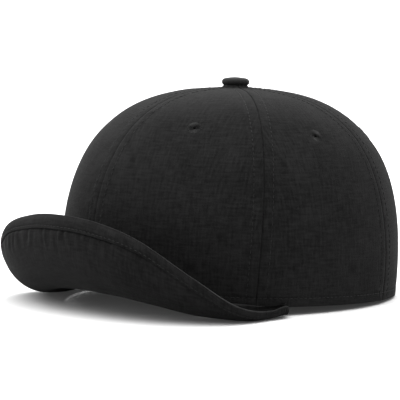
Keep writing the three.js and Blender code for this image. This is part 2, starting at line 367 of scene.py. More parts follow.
# Depth of the outer cloth of a panel below the crown's surface
def panel_depth(angle, rise, distance, seam):
    height = rise * CROWN_HEIGHT * math.pi / 2
    surface = crown_point(angle, rise)
    along = rise * CROWN_HEIGHT * 1.5
    round_it = angle * CROWN_HALF_WIDTH
    return (
        seam_relief(seam, distance)
        + rim_relief(height)
        + rim_rounding(height)
        + SEAMS[seam]["pucker"] * pucker(along, distance, list(SEAMS).index(seam) * 3, SEAM_TO_STITCHES)
        + pucker(round_it, height, 20, RIM_TO_STITCHES)
        - drift(surface)
        - MOUND_HEIGHT * bell(math.hypot(surface.x, surface.y), MOUND_RADIUS)
        + eyelet_dimple(surface)
    )


# Lines of a panel's mesh across it: each has its seam, its distance from that seam, and its share between
def panel_columns():
    close = [("start", distance, 0) for distance in CLOSE_LINES]
    middle = [("middle", 0, share) for share in shares(MIDDLE_LINES)[1:-1]]
    return close + middle + [("end", distance, 1) for distance in reversed(CLOSE_LINES)]


def panel_rises():
    top = 1 - TIP_RADIUS / CROWN_HALF_WIDTH * 2 / math.pi
    close = [rise_at_height(height) for height in CLOSE_LINES]
    return close + [lerp(close[-1], top, share) for share in shares(RISE_LINES)[1:]]


# Where a line of a panel lies at a rise: its angle and how far it is from the nearer seam. Near the top,
# where the panel is narrow, the lines draw together.
def panel_line(panel, line, rise):
    kind, distance, share = line
    start = seam_angle(panel["start"], rise)
    end = seam_angle(panel["end"], rise)
    scale = round_scale((start + end) / 2, rise)
    half = (end - start) / 2 * scale
    squeeze = min(1, 0.85 * half / CLOSE_LINES[-1])
    if kind == "start":
        return start + distance * squeeze / scale, distance
    if kind == "end":
        return end - distance * squeeze / scale, distance
    margin = CLOSE_LINES[-1] * squeeze / scale
    angle = lerp(start + margin, end - margin, share)
    from_start = (angle - start) * scale / squeeze
    from_end = (end - angle) * scale / squeeze
    return angle, min(from_start, from_end)


# A wall of cloth: a grid that is given its thickness, then laid out by its columns and rows
def cloth_wall(columns, rows, point_at, cloth_at, endless=False):
    bm = bmesh.new()
    bmesh.ops.create_grid(bm, x_segments=columns - 1, y_segments=rows - 1, size=1)
    column = bm.verts.layers.int.new("column")
    row = bm.verts.layers.int.new("row")
    inner = bm.verts.layers.int.new("inner")
    for vert in bm.verts:
        vert[column] = round((vert.co.x + 1) / 2 * (columns - 1))
        vert[row] = round((vert.co.y + 1) / 2 * (rows - 1))
    made = bmesh.ops.extrude_face_region(bm, geom=bm.faces[:], use_keep_orig=True)
    for item in made["geom"]:
        if isinstance(item, bmesh.types.BMVert):
            item[inner] = 1
    cloth = bm.loops.layers.uv.new("cloth")
    for face in bm.faces:
        for loop in face.loops:
            loop[cloth].uv = cloth_at(loop.vert[column], loop.vert[row])
    if endless:
        ends = [
            face
            for face in bm.faces
            if all(vert[column] == 0 for vert in face.verts)
            or all(vert[column] == columns - 1 for vert in face.verts)
        ]
        bmesh.ops.delete(bm, geom=ends, context="FACES")
    for vert in bm.verts:
        vert.co = SETTLE @ point_at(vert[column], vert[row], vert[inner] == 1)
    if endless:
        bmesh.ops.remove_doubles(bm, verts=bm.verts, dist=1e-6)
    return bm


# A closed tube of cloth: a grid whose first and last columns meet, with its two ends filled
def cloth_tube(columns, rows, point_at, cloth_at, wear_and_highlight_at):
    bm = bmesh.new()
    bmesh.ops.create_grid(bm, x_segments=columns, y_segments=rows - 1, size=1)
    cloth = bm.loops.layers.uv.new("cloth")
    # Each vertex's share of the lighter shade: a painted highlight, partly wear
    wear_and_highlight = bm.verts.layers.float.new("wear_and_highlight")
    index = {}
    for vert in bm.verts:
        index[vert] = (round((vert.co.x + 1) / 2 * columns), round((vert.co.y + 1) / 2 * (rows - 1)))
    for face in bm.faces:
        for loop in face.loops:
            loop[cloth].uv = cloth_at(*index[loop.vert])
    for vert, (column, row) in index.items():
        vert[wear_and_highlight] = wear_and_highlight_at(column % columns, row)
        vert.co = SETTLE @ point_at(column % columns, row)
    bmesh.ops.remove_doubles(bm, verts=bm.verts, dist=1e-7)
    bmesh.ops.holes_fill(bm, edges=[edge for edge in bm.edges if edge.is_boundary], sides=0)
    return bm


# The finished piece: it stands on the table, faces outwards, and rides on the cap's one body
def finish_piece(name, bm, material):
    for vert in bm.verts:
        vert.co.z = max(vert.co.z, 0)
    bmesh.ops.recalc_face_normals(bm, faces=bm.faces)
    mesh = bpy.data.meshes.new(name)
    bm.to_mesh(mesh)
    bm.free()
    mesh.polygons.foreach_set("use_smooth", [True] * len(mesh.polygons))
    mesh.set_sharp_from_angle(angle=math.radians(SHARP_DEGREES))
    mesh.materials.append(material)
    piece = bpy.data.objects.new(name, mesh)
    bpy.context.scene.collection.objects.link(piece)
    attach(piece, "root")
    return piece


# Stitches along a path. The path gives a point and the way out of the cloth at a share of its length.
def lay_stitches(bm, path, seed):
    draw = random.Random(seed)
    samples = [path(share) for share in shares(PATH_SAMPLES)]
    places = [point for point, _ in samples]
    lengths = [0]
    for before, after in zip(places, places[1:]):
        lengths.append(lengths[-1] + (after - before).length)
    count = max(int(lengths[-1] / STITCH_PITCH), 1)
    pitch = lengths[-1] / count
    at = 0
    for number in range(count):
        middle = (number + 0.5) * pitch
        while lengths[at + 1] < middle:
            at += 1
        share = (middle - lengths[at]) / (lengths[at + 1] - lengths[at])
        along = (places[at + 1] - places[at]).normalized()
        outward = samples[at][1].normalized()
        across = outward.cross(along).normalized()
        along = (along + across * draw.uniform(-STITCH_SWAY, STITCH_SWAY)).normalized()
        across = outward.cross(along).normalized()
        outward = along.cross(across)
        centre = places[at].lerp(places[at + 1], share)
        half = STITCH_LENGTH / 2 * draw.uniform(1 - STITCH_SPREAD, 1 + STITCH_SPREAD)
        frame_of_stitch = Matrix(
            (
                (*(across * STITCH_RADIUS), 0),
                (*(outward * STITCH_RADIUS * STITCH_FLATNESS), 0),
                (*(along * half), 0),
                (*centre, 1),
            )
        ).transposed()
        bmesh.ops.create_uvsphere(bm, u_segments=8, v_segments=6, radius=1, matrix=frame_of_stitch)


def stitches_piece(name, paths, seed, material):
    bm = bmesh.new()
    for number, path in enumerate(paths):
        lay_stitches(bm, path, seed + number)
    return finish_piece(name, bm, material)


# A value of the brim's sections at a place, on a smooth curve through the table
def section_value(key, place):
    last = len(BRIM_SECTIONS) - 1

    def slope_at(number):
        if number == 0:
            return 0
        before = BRIM_SECTIONS[number - 1]
        after = BRIM_SECTIONS[min(number + 1, last)]
        return (after[key] - before[key]) / (after["place"] - before["place"])

    upper = next((n for n in range(1, last + 1) if place <= BRIM_SECTIONS[n]["place"]), last)
    start = BRIM_SECTIONS[upper - 1]
    end = BRIM_SECTIONS[upper]
    span = end["place"] - start["place"]
    t = (place - start["place"]) / span
    from_start = (1 + 2 * t) * (1 - t) ** 2 * start[key] + t * (1 - t) ** 2 * span * slope_at(upper - 1)
    from_end = t**2 * (3 - 2 * t) * end[key] + t**2 * (t - 1) * span * slope_at(upper)
    return from_start + from_end


# The edge band is widest at the front of the brim
def edge_band_width(place):
    return EDGE_BAND_WIDTH * lerp(1, SIDE_BAND_SHARE, ease(place, 0.15, 0.5))


# A section of the brim: its sizes, and where a point lies by its distance from the crown along the under face
# and its lift off that face
def brim_section(signed_place):
    place = abs(signed_place)
    angle = math.radians(signed_place * BRIM_HALF_SPAN)
    root = crown_point(angle, 0)
    outward = Vector((math.sin(angle) / CROWN_HALF_WIDTH, -math.cos(angle) / CROWN_FRONT_LENGTH, 0))
    outward.normalize()
    width = BRIM_WIDTH * section_value("width", place)
    leaving = math.radians(section_value("leaving", place))
    arriving = math.radians(section_value("arriving", place))
    under_rim = ease(place, END_UNDER_RIM_FROM, 1)
    walk_steps = 24

    def slope_at(share):
        return lerp(leaving, arriving, max(share, 0) ** EARLY_BEND)

    def at(distance, lift):
        stride = distance / walk_steps
        out = CLEARANCE - END_GOES_IN * under_rim
        up = -END_GOES_DOWN * under_rim
        for step in range(walk_steps):
            slope = slope_at((step + 0.5) * stride / width)
            out += stride * math.cos(slope)
            up += stride * math.sin(slope)
        slope = slope_at(distance / width)
        out -= lift * math.sin(slope)
        up += lift * math.cos(slope)
        return root + outward * out + Vector((0, 0, up))

    return SimpleNamespace(
        place=signed_place,
        along=angle * (CROWN_FRONT_LENGTH + 0.3 * BRIM_WIDTH),
        width=width,
        band=min(edge_band_width(place), width * MOST_OF_SECTION["band"]),
        hook=min(EDGE_HOOK_WIDTH, width * MOST_OF_SECTION["hook"]),
        at=at,
    )


# The sections stand closer together towards the ends of the brim
brim_sections = [brim_section(math.sin((share - 0.5) * math.pi)) for share in shares(BRIM_ROUND_LINES)]


# Towards its ends the brim is gathered into the crown's seam
def end_creases(section):
    uneven = noise.noise(Vector((section.along / (5 * MM), 3, 0)))

    def waves(length, swing):
        return math.sin(section.along * 2 * math.pi / length + swing * uneven)

    creases = ease(abs(section.place), 0.82, 0.95) * waves(END_CREASE_LENGTH, 3)
    pleats = ease(abs(section.place), 0.91, 0.97) * waves(END_PLEAT_LENGTH, 2)
    return END_CREASE_HEIGHT * creases + END_PLEAT_HEIGHT * pleats


# The upper cloth rolls over where it leaves the crown, and lies in folds along the narrow ends
def end_folds(section, distance):
    towards_end = ease(abs(section.place), 0.62, 0.8)
    roll = END_ROLL_HEIGHT * bell(distance - END_ROLL_PLACE, END_ROLL_WIDTH)
    hollow = END_HOLLOW_DEPTH * bell(distance - END_HOLLOW_PLACE, END_HOLLOW_WIDTH)
    folded = ease(abs(section.place), 0.84, 0.93) * ease(distance, 1.5 * MM, 3 * MM)
    fold = END_FOLD_HEIGHT * math.sin(distance * 2 * math.pi / END_FOLD_LENGTH) * folded
    return towards_end * (roll - hollow) + fold


# Uneven gathers of the under cloth, deepest beside the edge band and at the front of the brim
def gathers(section, from_band):
    shift = noise.noise(Vector((section.along / (16 * MM), from_band / (16 * MM), 5)))
    place = section.along + 5 * MM * shift
    broad = math.sin(place * 2 * math.pi / GATHER_LENGTH)
    narrow = noise.noise(Vector((place / (2.4 * MM), from_band / (30 * MM), 2)))
    patch = 0.6 + 0.9 * noise.noise(Vector((section.along / (11 * MM), 7, 1)))
    strength = patch * (1 - 0.85 * ease(abs(section.place + 0.08), 0.25, 0.5))
    reach = GATHER_REACH * (1 + 0.6 * noise.noise(Vector((section.along / (6 * MM), 3, 9))))
    fade = (1 - ease(from_band, 0.2 * reach, reach)) * ease(from_band, 0, 0.8 * MM)
    return GATHER_HEIGHT * (0.7 * broad + narrow) * strength * fade


def brim_drift(section, distance, seed):
    return DRIFT_HEIGHT * 0.8 * noise.noise(Vector((section.along / (26 * MM), distance / (22 * MM), seed)))


# Lines across a layer of the brim: even ones, with close ones beside the crown and at its far end
def layer_distances(length):
    near = [line * MM for line in (0.4, 0.8, 1.2, 1.7, 2.3, 3, 3.8)]
    far = [line * MM for line in (4.2, 3.2, 2.4, 1.8, 1.3, 0.9, 0.55, 0.25, 0)]
    reach = min(1, length * 0.35 / far[0])
    start = near[-1] * reach
    end = length - far[0] * reach
    even = [lerp(start, end, share) for share in shares(BRIM_ACROSS_LINES)[1:-1]]
    return [-CLEARANCE] + [line * reach for line in near] + even + [length - line * reach for line in far]


# Nodes of a material, joined up by name
def add_node(tree, kind, inputs=None, **settings):
    node = tree.nodes.new(kind)
    for key, value in settings.items():
        setattr(node, key, value)
    for key, value in (inputs or {}).items():
        if isinstance(value, bpy.types.NodeSocket):
            tree.links.new(value, node.inputs[key])
        else:
            node.inputs[key].default_value = value
    return node


def add_math(tree, operation, a, b=None):
    node = add_node(tree, "ShaderNodeMath", {0: a}, operation=operation)
    if b is not None:
        if isinstance(b, bpy.types.NodeSocket):
            tree.links.new(b, node.inputs[1])
        else:
            node.inputs[1].default_value = b
    return node.outputs[0]


def add_noise(tree, vector, size, detail=2.0, roughness=0.5):
    node = add_node(
        tree,
        "ShaderNodeTexNoise",
        {"Vector": vector, "Scale": 1 / size, "Detail": detail, "Roughness": roughness},
    )
    return node.outputs["Fac"]


def add_ramp(tree, value, from_low, from_high, low, high):
    return add_node(
        tree,
        "ShaderNodeMapRange",
        {"Value": value, "From Min": from_low, "From Max": from_high, "To Min": low, "To Max": high},
    ).outputs["Result"]


# Woven cotton: diagonal wales, thicker yarns that show as short streaks both ways, fuzz, and slow changes of
# shade. Where the piece has an attribute of wear and highlight, it fades to a lighter shade: a painted
# highlight along the top of the edge band's fold, partly wear.
def woven_cloth(name, dark, light, wale, relief, roughness, sheen, specular, worn_and_highlight_shade=None):
    material = bpy.data.materials.new(name)
    material.use_nodes = True
    tree = material.node_tree
    shader = tree.nodes["Principled BSDF"]
    uv = add_node(tree, "ShaderNodeUVMap", uv_map="cloth").outputs["UV"]
    place = add_node(tree, "ShaderNodeTexCoord").outputs["Object"]

    def streaks(across, up):
        stretched = add_node(
            tree,
            "ShaderNodeVectorMath",
            {0: uv, 1: (1 / across, 1 / up, 1)},
            operation="MULTIPLY",
        ).outputs["Vector"]
        return add_noise(tree, stretched, 1, 2.0, 0.6)

    split = add_node(tree, "ShaderNodeSeparateXYZ", {"Vector": uv})
    diagonal = add_math(tree, "ADD", split.outputs["X"], split.outputs["Y"])
    wales = add_math(tree, "SINE", add_math(tree, "MULTIPLY", diagonal, 2 * math.pi / wale))
    yarns = add_math(tree, "ADD", streaks(*YARN_STREAK), streaks(*reversed(YARN_STREAK)))
    fuzz = add_noise(tree, place, FUZZ_SIZE, 3.0, 0.65)
    shade = add_noise(tree, place, SHADE_SIZE, 2.0, 0.5)
    marks = zip((yarns, fuzz, shade, wales), TONE_SHARES)
    parts = [add_math(tree, "MULTIPLY", mark, share) for mark, share in marks]
    tone = add_math(tree, "ADD", add_math(tree, "ADD", *parts[:2]), add_math(tree, "ADD", *parts[2:]))
    colour = add_node(
        tree,
        "ShaderNodeMix",
        {"Factor": add_ramp(tree, tone, 0.41, 0.59, 0.0, 1.0), 6: (*dark, 1), 7: (*light, 1)},
        data_type="RGBA",
    ).outputs[2]
    # Lighter shade where the attribute says: a painted highlight along the top of the edge band's fold,
    # partly wear
    if worn_and_highlight_shade:
        wear_and_highlight = add_node(tree, "ShaderNodeAttribute", attribute_name="wear_and_highlight").outputs["Fac"]
        patchy_wear_and_highlight = add_math(tree, "MULTIPLY", wear_and_highlight, add_ramp(tree, yarns, 0.8, 1.2, 0.5, 1.0))
        colour = add_node(
            tree,
            "ShaderNodeMix",
            {"Factor": patchy_wear_and_highlight, 6: colour, 7: (*worn_and_highlight_shade, 1)},
            data_type="RGBA",
        ).outputs[2]
    tree.links.new(colour, shader.inputs["Base Color"])
    rough = add_ramp(tree, fuzz, 0.3, 0.7, roughness - 0.06, roughness + 0.06)
    tree.links.new(rough, shader.inputs["Roughness"])
    woven = add_node(tree, "ShaderNodeBump", {"Height": wales, "Strength": 0.5, "Distance": relief * 0.4})
    fuzzy = add_node(
        tree,
        "ShaderNodeBump",
        {
            "Height": add_math(tree, "ADD", yarns, fuzz),
            "Strength": 0.6,
            "Distance": relief * 3,
            "Normal": woven.outputs["Normal"],
        },
    )
    tree.links.new(fuzzy.outputs["Normal"], shader.inputs["Normal"])
    shader.inputs["Sheen Weight"].default_value = sheen
    shader.inputs["Sheen Roughness"].default_value = 0.4
    shader.inputs["Sheen Tint"].default_value = (1, 1, 1, 1)
    shader.inputs["Specular IOR Level"].default_value = specular
    return material


# Sewing thread: a fine twist along it and a slight gloss
def sewing_thread(name, dark, light, roughness, specular):
    material = bpy.data.materials.new(name)
    material.use_nodes = True
    tree = material.node_tree
    shader = tree.nodes["Principled BSDF"]
    place = add_node(tree, "ShaderNodeTexCoord").outputs["Object"]
    fine = add_noise(tree, place, 0.35 * MM, 2.0)
    shade = add_noise(tree, place, 6 * MM, 1.0)
    tone = add_math(tree, "MULTIPLY", add_math(tree, "ADD", fine, shade), 0.5)
    colour = add_node(
        tree,
        "ShaderNodeMix",
        {"Factor": add_ramp(tree, tone, 0.35, 0.65, 0.0, 1.0), 6: (*dark, 1), 7: (*light, 1)},
        data_type="RGBA",
    ).outputs[2]
    tree.links.new(colour, shader.inputs["Base Color"])
    rough = add_ramp(tree, shade, 0.3, 0.7, roughness - 0.06, roughness + 0.06)
    tree.links.new(rough, shader.inputs["Roughness"])
    bump = add_node(tree, "ShaderNodeBump", {"Height": fine, "Strength": 0.4, "Distance": 0.05 * MM})
    tree.links.new(bump.outputs["Normal"], shader.inputs["Normal"])
    shader.inputs["Specular IOR Level"].default_value = specular
    shader.inputs["Sheen Weight"].default_value = 0.033
    return material


def neutral(value):
    return (value, value, value)


TWILL_WEAVE = {"wale": 0.78 * MM, "relief": 0.08 * MM, "roughness": 0.88}
TWILL = {"dark": neutral(0.003), "light": neutral(0.0089), "sheen": 0.0125, "specular": 0.045}
# The button's twill is a lighter copy of the crown's: painted light, standing in for more light on the button
BUTTON_LIT_TWILL = {"dark": neutral(0.006), "light": neutral(0.014), "sheen": 0.035, "specular": 0.09}
TAPE = {"dark": neutral(0.0033), "light": neutral(0.0073), "sheen": 0.027, "specular": 0.067}
TAPE_WEAVE = {"wale": 1.3 * MM, "relief": 0.06 * MM, "roughness": 0.85}
twill = woven_cloth("cotton_twill", **TWILL, **TWILL_WEAVE)
# The edge band's twill, lightened along the top of its fold: a painted highlight, partly wear
edge_twill = woven_cloth("edge_band_twill", **TWILL, **TWILL_WEAVE, worn_and_highlight_shade=neutral(0.032))
button_twill_painted_light = woven_cloth("button_twill_painted_light", **BUTTON_LIT_TWILL, **TWILL_WEAVE)
tape = woven_cloth("sweatband_tape", **TAPE, **TAPE_WEAVE)
thread = sewing_thread("eyelet_thread", neutral(0.0045), neutral(0.0095), roughness=0.65, specular=0.09)


# Six crown panels, each with its stitches beside its two seams
def make_panel(panel, side_name, side):
    lines = panel_columns()
    rises = panel_rises()
    grid = {}
    for column, line in enumerate(lines):
        for row, rise in enumerate(rises):
            angle, distance = panel_line(panel, line, rise)
            seam = panel["start"] if column < len(lines) / 2 else panel["end"]
            grid[column, row] = (angle, rise, distance, seam)

    def point_at(column, row, inner):
        angle, rise, distance, seam = grid[column, row]
        if inner:
            height = rise * CROWN_HEIGHT * math.pi / 2
            taped = SEAM_TAPE_RISE * (1 - ease(distance, SEAM_TAPE_HALF, SEAM_TAPE_HALF + 0.6 * MM))
            taped *= ease(height, 0, 4 * MM)
            depth = CROWN_WALL + taped - 0.6 * rim_rounding(height)
            depth += eyelet_dimple(crown_point(angle * side, rise))
        else:
            depth = panel_depth(angle * side, rise, distance, seam)
        return wall_point(angle * side, rise, depth)

    def cloth_at(column, row):
        angle, rise, _, _ = grid[column, row]
        middle = (seam_angle(panel["start"], rise) + seam_angle(panel["end"], rise)) / 2
        across = (angle - middle) * round_scale(middle, rise)
        return across, rise * 1.6 * CROWN_HEIGHT

    bm = cloth_wall(len(lines), len(rises), point_at, cloth_at)
    name = f"{panel['name']}_{side_name}_panel"
    piece = finish_piece(name + "_cloth", bm, twill)
    cut_eyelet_hole(piece, side * math.radians(panel["eyelet_degrees"]), panel["eyelet_rise"])
    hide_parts(name)


# The hole under an eyelet, cut through the panel's wall
def cut_eyelet_hole(piece, angle, rise):
    normal = crown_normal(angle, rise)
    turn = normal.to_track_quat("Z", "Y").to_matrix().to_4x4()
    bm = bmesh.new()
    bmesh.ops.create_cone(
        bm,
        cap_ends=True,
        segments=32,
        radius1=EYELET_CUT_RADIUS,
        radius2=EYELET_CUT_RADIUS,
        depth=12 * MM,
        matrix=SETTLE @ Matrix.Translation(crown_point(angle, rise)) @ turn,
    )
    drill_mesh = bpy.data.meshes.new("drill")
    bm.to_mesh(drill_mesh)
    bm.free()
    drill = bpy.data.objects.new("drill", drill_mesh)
    bpy.context.scene.collection.objects.link(drill)
    cut = piece.modifiers.new("hole", "BOOLEAN")
    cut.operation = "DIFFERENCE"
    cut.solver = "EXACT"
    cut.object = drill
    bpy.context.view_layer.update()
    cut_piece = piece.evaluated_get(bpy.context.evaluated_depsgraph_get())
    whole_mesh = piece.data
    piece.data = bpy.data.meshes.new_from_object(cut_piece)
    piece.modifiers.clear()
    bpy.data.objects.remove(drill)
    bpy.data.meshes.remove(drill_mesh)
    bpy.data.meshes.remove(whole_mesh)


# The row of stitches beside a seam of a panel
def panel_stitch_path(panel, side, edge):
    lowest = rise_at_height(1.2 * MM)
    highest = 1 - 7 * MM / CROWN_HALF_WIDTH * 2 / math.pi

    def path(share):
        rise = lerp(lowest, highest, share)
        angle, distance = panel_line(panel, (edge, SEAM_TO_STITCHES, 0), rise)
        depth = panel_depth(angle * side, rise, distance, panel[edge]) - STITCH_STAND
        point = wall_point(angle * side, rise, depth)
        return SETTLE @ point, SETTLE.to_3x3() @ crown_normal(angle * side, rise)

    return path


for side_name, side in SIDES.items():
    for number, panel in enumerate(PANELS):
        make_panel(panel, side_name, side)
        stitches_piece(
            f"{panel['name']}_{side_name}_topstitching",
            [panel_stitch_path(panel, side, "start"), panel_stitch_path(panel, side, "end")],
            number * 10 + (1 if side > 0 else 5),
            thread,
        )


# The row of stitches that holds the sweatband, all round just above the rim
def rim_stitch_path(share):
    angle = (share * 2 - 1) * math.pi
    rise = rise_at_height(RIM_TO_STITCHES)
    depth = rim_relief(RIM_TO_STITCHES) - drift(crown_point(angle, rise)) - STITCH_STAND
    return SETTLE @ wall_point(angle, rise, depth), SETTLE.to_3x3() @ crown_normal(angle, rise)


stitches_piece("rim_stitching", [rim_stitch_path], 70, thread)


# A round form, spun from its profile of radii and heights
def spun_form(profile, steps, closed):
    bm = bmesh.new()
    verts = [bm.verts.new((radius, 0, height)) for radius, height in profile]
    followers = verts[1:] + verts[:1] if closed else verts[1:]
    edges = [bm.edges.new((a, b)) for a, b in zip(verts, followers)]
    bmesh.ops.spin(
        bm,
        geom=verts + edges,
        cent=(0, 0, 0),
        axis=(0, 0, 1),
        angle=2 * math.pi,
        steps=steps,
        use_merge=True,
    )
    bmesh.ops.remove_doubles(bm, verts=bm.verts, dist=1e-7)
    return bm


# Embroidered eyelets: a ring of thread, with a ridge for every turn of the thread
def make_eyelet(panel, side_name, side):
    angle = side * math.radians(panel["eyelet_degrees"])
    rise = panel["eyelet_rise"]
    ring_middle = (EYELET_BORE + EYELET_RADIUS) / 2
    half_width = (EYELET_RADIUS - EYELET_BORE) / 2
    back_middle = (EYELET_BORE + EYELET_BACK_RADIUS) / 2
    back_half = (EYELET_BACK_RADIUS - EYELET_BORE) / 2
    profile = []
    for share in shares(12):
        turn = math.pi * share
        profile.append((ring_middle + half_width * math.cos(turn), EYELET_HEIGHT * math.sin(turn) ** 0.75))
    for share in shares(6):
        turn = math.pi * (1 + share)
        profile.append((back_middle + back_half * math.cos(turn), -EYELET_DEPTH + 0.4 * MM * math.sin(turn)))
    bm = spun_form(profile, EYELET_THREADS * 4, closed=True)
    draw = Vector((panel["eyelet_degrees"], side * 3, 0))
    for vert in bm.verts:
        radius = math.hypot(vert.co.x, vert.co.y)
        around = math.atan2(vert.co.y, vert.co.x)
        ridge = math.cos(around * EYELET_THREADS)
        uneven = noise.noise(Vector((vert.co.x, vert.co.y, 0)) / (1.1 * MM) + draw)
        on_ring = ease(vert.co.z, -0.2 * MM, 0.3 * MM)
        vert.co.z += on_ring * (EYELET_THREAD_HEIGHT * ridge + 0.1 * MM * uneven)
        outer = on_ring * ease(radius, ring_middle, EYELET_RADIUS)
        stretch = 1 + outer * (0.02 * ridge + 0.05 * uneven)
        vert.co.x *= stretch
        vert.co.y *= stretch
    normal = crown_normal(angle, rise)
    turn = normal.to_track_quat("Z", "Y").to_matrix().to_4x4()
    sunk = crown_point(angle, rise) - normal * (EYELET_DIMPLE_DEPTH + 0.1 * MM)
    bmesh.ops.transform(bm, matrix=SETTLE @ Matrix.Translation(sunk) @ turn, verts=bm.verts)
    name = f"{panel['name']}_{side_name}_eyelet"
    piece = finish_piece(name + "_embroidery", bm, thread)
    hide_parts(name)


for side_name, side in SIDES.items():
    for panel in PANELS:
        make_eyelet(panel, side_name, side)


# The button: its cloth is drawn down over the edge in small pleats
def make_button():
    rim = BUTTON_RADIUS
    tall = BUTTON_HEIGHT
    plate_top = -CROWN_WALL - CLEARANCE
    profile = [(0, -BUTTON_PLUNGE), (BUTTON_PLATE, -BUTTON_PLUNGE), (BUTTON_PLATE, plate_top)]
    profile += [(BUTTON_SHANK, plate_top), (BUTTON_SHANK, BUTTON_LIFT + 0.1 * MM)]
    profile += [(rim * 0.8, BUTTON_LIFT), (rim * 0.93, BUTTON_LIFT + 0.1 * MM)]
    for share in shares(16):
        turn = math.radians(lerp(-50, 90, share))
        out = abs(math.cos(turn)) ** (2 / BUTTON_SQUARENESS)
        up = math.copysign(abs(math.sin(turn)) ** (2 / BUTTON_SQUARENESS), math.sin(turn))
        height = tall * (BUTTON_SIDE_MIDDLE + BUTTON_SIDE_HALF * up)
        profile.append((rim * lerp(BUTTON_FLAT_SHARE, 1, out), BUTTON_LIFT + height))
    for share in (0.75, 0.5, 0.25, 0):
        profile.append((rim * BUTTON_FLAT_SHARE * share, BUTTON_LIFT + tall * lerp(1.0, 0.93, share**2)))
    bm = spun_form(profile, BUTTON_STEPS, closed=False)
    for vert in bm.verts:
        radius = math.hypot(vert.co.x, vert.co.y)
        if radius < rim * 0.5 or vert.co.z < BUTTON_LIFT + 0.05 * MM:
            continue
        around = math.atan2(vert.co.y, vert.co.x)
        uneven = noise.noise(Vector((math.cos(around), math.sin(around), 0)) * 2.5)
        pleat = math.cos(around * BUTTON_PLEATS + 2.5 * uneven)
        low = 1 - ease(vert.co.z - BUTTON_LIFT, 0.1 * tall, 0.6 * tall)
        stretch = 1 + 0.03 * pleat * low + 0.014 * uneven
        vert.co.x *= stretch
        vert.co.y *= stretch
        vert.co.z += 0.12 * MM * uneven
    cloth = bm.loops.layers.uv.new("cloth")
    for face in bm.faces:
        for loop in face.loops:
            loop[cloth].uv = (loop.vert.co.x, loop.vert.co.y + loop.vert.co.z)
    bmesh.ops.transform(bm, matrix=SETTLE @ Matrix.Translation(crown_point(0, 1)), verts=bm.verts)
    # Its cloth is the lighter copy of the twill, painted light
    piece = finish_piece("top_button_cloth", bm, button_twill_painted_light)
    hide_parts("top_button")


make_button()


# The sweatband, an endless wall inside the rim, with a ribbed weave and a fold along its top
def make_sweatband():
    heights = [line * MM for line in BAND_LOW_LINES + BAND_HIGH_LINES]
    last = BAND_COLUMNS - 1

    def point_at(column, row, inner):
        angle = (column / last * 2 - 1) * math.pi if column < last else -math.pi
        height = heights[row]
        rise = rise_at_height(BAND_RISE + height)
        edge = min(height, BAND_HEIGHT - height)
        rounding = 0.5 * BAND_WALL * (1 - math.sqrt(1 - (1 - min(edge / (0.5 * MM), 1)) ** 2))
        waved = Vector((math.cos(angle) * 5, math.sin(angle) * 5, height / (12 * MM)))
        waves = 0.25 * MM * noise.noise(waved)
        near = CROWN_WALL + BAND_GAP + rounding * 0.8
        far = CROWN_WALL + BAND_GAP + BAND_WALL - rounding * 0.8
        far += waves - STITCH_DIP * 0.7 * bell(height - BAND_FOLD_HEIGHT, 0.6 * MM)
        return wall_point(angle, rise, far if inner else near)

    def cloth_at(column, row):
        return column / last * 2 * math.pi * CROWN_HALF_WIDTH, heights[row]

    bm = cloth_wall(BAND_COLUMNS, len(heights), point_at, cloth_at, endless=True)
    piece = finish_piece("sweatband_tape", bm, tape)
    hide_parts("sweatband")


make_sweatband()


def sweatband_stitch_path(share):
    angle = (share * 2 - 1) * math.pi
    rise = rise_at_height(BAND_RISE + BAND_FOLD_HEIGHT)
    depth = CROWN_WALL + BAND_GAP + BAND_WALL
    return SETTLE @ wall_point(angle, rise, depth), SETTLE.to_3x3() @ -crown_normal(angle, rise)


stitches_piece("sweatband_stitching", [sweatband_stitch_path], 80, thread)


# The brim's two layers of cloth
def make_layer(node, outer_lift, inner_lift, end_of):
    rows = [layer_distances(end_of(section)) for section in brim_sections]

    def point_at(column, row, inner):
        section = brim_sections[column]
        distance = rows[column][row]
        return section.at(distance, (inner_lift if inner else outer_lift)(section, distance))

    def cloth_at(column, row):
        return brim_sections[column].along, rows[column][row]

    bm = cloth_wall(len(brim_sections), len(rows[0]), point_at, cloth_at)
    piece = finish_piece(node + "_twill", bm, twill)
    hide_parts(node)


# Where the layers end under the edge band, and how much smaller the narrow sections are
def under_end(section):
    return section.width - section.band + 0.1 * MM


def upper_end(section):
    return section.width - section.hook - 0.05 * MM


def section_squeeze(section):
    return section.band / EDGE_BAND_WIDTH


# Lift of the outer face of each layer
def under_face(section, distance):
    squeeze = section_squeeze(section)
    from_band = under_end(section) - distance
    tuck = BAND_TUCK * squeeze * bell(from_band, BAND_TUCK_WIDTH)
    relief = gathers(section, from_band) + brim_drift(section, distance, 11) + 0.6 * end_creases(section)
    fade = ease(distance, 0, 4 * MM)
    return UNDER_FACE + tuck + relief * fade * squeeze


def upper_face(section, distance):
    squeeze = section_squeeze(section)
    from_stitches = distance - (section.width - section.band + BAND_TO_STITCHES * squeeze)
    dip = STITCH_DIP * squeeze * bell(from_stitches, 0.7 * MM)
    tuck = 0.5 * MM * squeeze * bell(upper_end(section) - distance, 0.5 * MM)
    relief = brim_drift(section, distance, 23) + end_creases(section)
    fade = ease(distance, 0, 4 * MM)
    return UPPER_FACE - dip - tuck - relief * fade * squeeze + end_folds(section, distance)


make_layer("brim_under_cloth", under_face, lambda section, distance: UNDER_BACK + 0.1 * MM, under_end)
make_layer("brim_upper_cloth", upper_face, lambda section, distance: UPPER_BACK - 0.1 * MM, upper_end)


